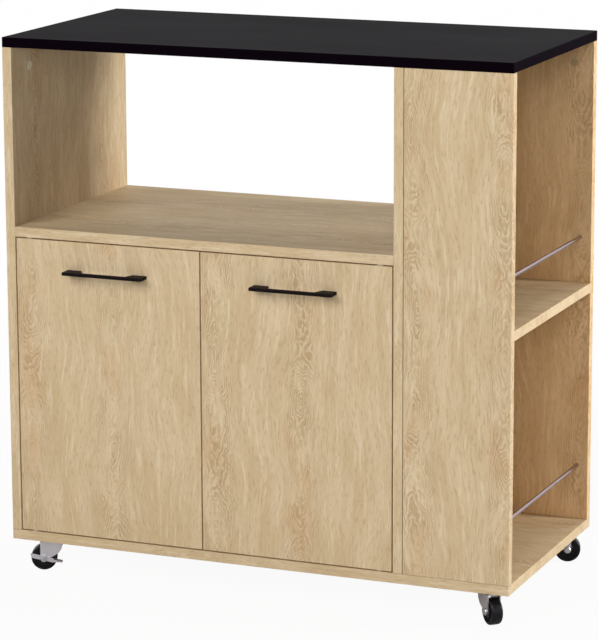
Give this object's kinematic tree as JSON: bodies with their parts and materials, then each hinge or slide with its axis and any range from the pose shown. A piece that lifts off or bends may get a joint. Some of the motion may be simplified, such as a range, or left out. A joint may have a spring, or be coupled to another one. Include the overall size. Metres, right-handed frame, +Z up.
{
  "type": "microwave cart",
  "caption": "Wheeled kitchen cart: black worktop, open microwave bay, two-door cupboard below, side shelf column with rails, swivel casters.",
  "frame": {"origin": "on the floor, below the middle of the whole cart with its handles, in the rest pose", "axes": "+Z up, -Y towards the doors, +X towards the open end of the shelf column"},
  "size_m": [0.8, 0.411, 0.824],
  "materials": {
    "oak_laminate": "light oak laminate, satin",
    "black_laminate": "near-black laminate, satin",
    "hardboard": "bare hardboard, matt",
    "zinc_alloy": "cast zinc, dull",
    "zinc_steel": "zinc-plated steel",
    "oak_plastic": "moulded cap in the colour of the boards",
    "beech": "bare beech",
    "chrome_rod": "bright chrome plate",
    "black_handle": "black powder coat, satin",
    "nylon": "natural nylon",
    "brown_plastic": "moulded brown plastic",
    "magnet": "ferrite, dull",
    "fork_zinc": "grey zinc-plated sheet",
    "bright_steel": "polished steel",
    "wheel_black": "hard black plastic"
  },
  "bodies": {
    "cabinet": {"base_screws": "zinc_steel", "bottom_board": "oak_laminate", "cam_bolts": "zinc_steel", "cam_caps": "oak_plastic", "cam_nuts": "zinc_alloy", "caster_screws": "zinc_steel", "catch_housings": "brown_plastic", "catch_magnets": "magnet", "catch_screws": "zinc_steel", "column_front_panel": "oak_laminate", "column_rear_panel": "oak_laminate", "column_shelf": "oak_laminate", "cupboard_back": "hardboard", "cupboard_shelf": "oak_laminate", "divider_panel": "oak_laminate", "front_left_plate": "fork_zinc", "front_right_plate": "fork_zinc", "kingpins": "zinc_steel", "left_side_panel": "oak_laminate", "lower_rail": "chrome_rod", "microwave_shelf": "oak_laminate", "pivot_bushes": "nylon", "rear_left_plate": "fork_zinc", "rear_right_plate": "fork_zinc", "shelf_pins": "zinc_steel", "upper_rail": "chrome_rod", "wood_dowels": "beech", "worktop": "black_laminate"},
    "left_door_leaf": {"left_door": "oak_laminate", "left_door_pins": "zinc_steel", "left_handle": "black_handle", "left_handle_screws": "zinc_steel", "left_strike_plate": "zinc_steel", "left_strike_screw": "zinc_steel"},
    "right_door_leaf": {"right_door": "oak_laminate", "right_door_pins": "zinc_steel", "right_handle": "black_handle", "right_handle_screws": "zinc_steel", "right_strike_plate": "zinc_steel", "right_strike_screw": "zinc_steel"},
    "front_left_swivel": {"front_left_fork": "fork_zinc", "front_left_balls": "bright_steel", "front_left_axle": "zinc_steel"},
    "front_left_roller": {"front_left_wheel": "wheel_black"},
    "front_right_swivel": {"front_right_fork": "fork_zinc", "front_right_balls": "bright_steel", "front_right_axle": "zinc_steel"},
    "front_right_roller": {"front_right_wheel": "wheel_black"},
    "rear_left_swivel": {"rear_left_fork": "fork_zinc", "rear_left_balls": "bright_steel", "rear_left_axle": "zinc_steel"},
    "rear_left_roller": {"rear_left_wheel": "wheel_black"},
    "rear_right_swivel": {"rear_right_fork": "fork_zinc", "rear_right_balls": "bright_steel", "rear_right_axle": "zinc_steel"},
    "rear_right_roller": {"rear_right_wheel": "wheel_black"},
    "front_left_brake": {"front_left_brake_lever": "fork_zinc"},
    "rear_left_brake": {"rear_left_brake_lever": "fork_zinc"}
  },
  "joints": [
    {"name": "left_door_hinge", "type": "hinge", "parent": "cabinet", "child": "left_door_leaf", "pos_m": [-0.363, -0.177, 0.2955], "axis": [0, 0, -1], "range_deg": [0, 110]},
    {"name": "right_door_hinge", "type": "hinge", "parent": "cabinet", "child": "right_door_leaf", "pos_m": [0.2, -0.177, 0.2955], "axis": [0, 0, 1], "range_deg": [0, 110]},
    {"name": "front_left_swivel_turn", "type": "hinge", "parent": "cabinet", "child": "front_left_swivel", "pos_m": [-0.348, -0.1505, 0.052], "axis": [0, 0, 1], "continuous": true},
    {"name": "front_left_wheel_spin", "type": "hinge", "parent": "front_left_swivel", "child": "front_left_roller", "pos_m": [-0.36144, -0.15593, 0.02], "axis": [0.3746, -0.9272, 0], "continuous": true},
    {"name": "front_left_brake_press", "type": "hinge", "parent": "front_left_swivel", "child": "front_left_brake", "pos_m": [-0.36144, -0.15593, 0.02], "axis": [-0.3746, 0.9272, 0], "range_deg": [0, 15]},
    {"name": "front_right_swivel_turn", "type": "hinge", "parent": "cabinet", "child": "front_right_swivel", "pos_m": [0.358, -0.1505, 0.052], "axis": [0, 0, 1], "continuous": true},
    {"name": "front_right_wheel_spin", "type": "hinge", "parent": "front_right_swivel", "child": "front_right_roller", "pos_m": [0.36807, -0.16093, 0.02], "axis": [0.7193, 0.6947, 0], "continuous": true},
    {"name": "rear_left_swivel_turn", "type": "hinge", "parent": "cabinet", "child": "rear_left_swivel", "pos_m": [-0.348, 0.1795, 0.052], "axis": [0, 0, 1], "continuous": true},
    {"name": "rear_left_wheel_spin", "type": "hinge", "parent": "rear_left_swivel", "child": "rear_left_roller", "pos_m": [-0.36056, 0.18675, 0.02], "axis": [-0.5, -0.866, 0], "continuous": true},
    {"name": "rear_left_brake_press", "type": "hinge", "parent": "rear_left_swivel", "child": "rear_left_brake", "pos_m": [-0.36056, 0.18675, 0.02], "axis": [0.5, 0.866, 0], "range_deg": [0, 15]},
    {"name": "rear_right_swivel_turn", "type": "hinge", "parent": "cabinet", "child": "rear_right_swivel", "pos_m": [0.358, 0.1795, 0.052], "axis": [0, 0, 1], "continuous": true},
    {"name": "rear_right_wheel_spin", "type": "hinge", "parent": "rear_right_swivel", "child": "rear_right_roller", "pos_m": [0.37187, 0.18374, 0.02], "axis": [-0.2924, 0.9563, 0], "continuous": true}
  ]
}
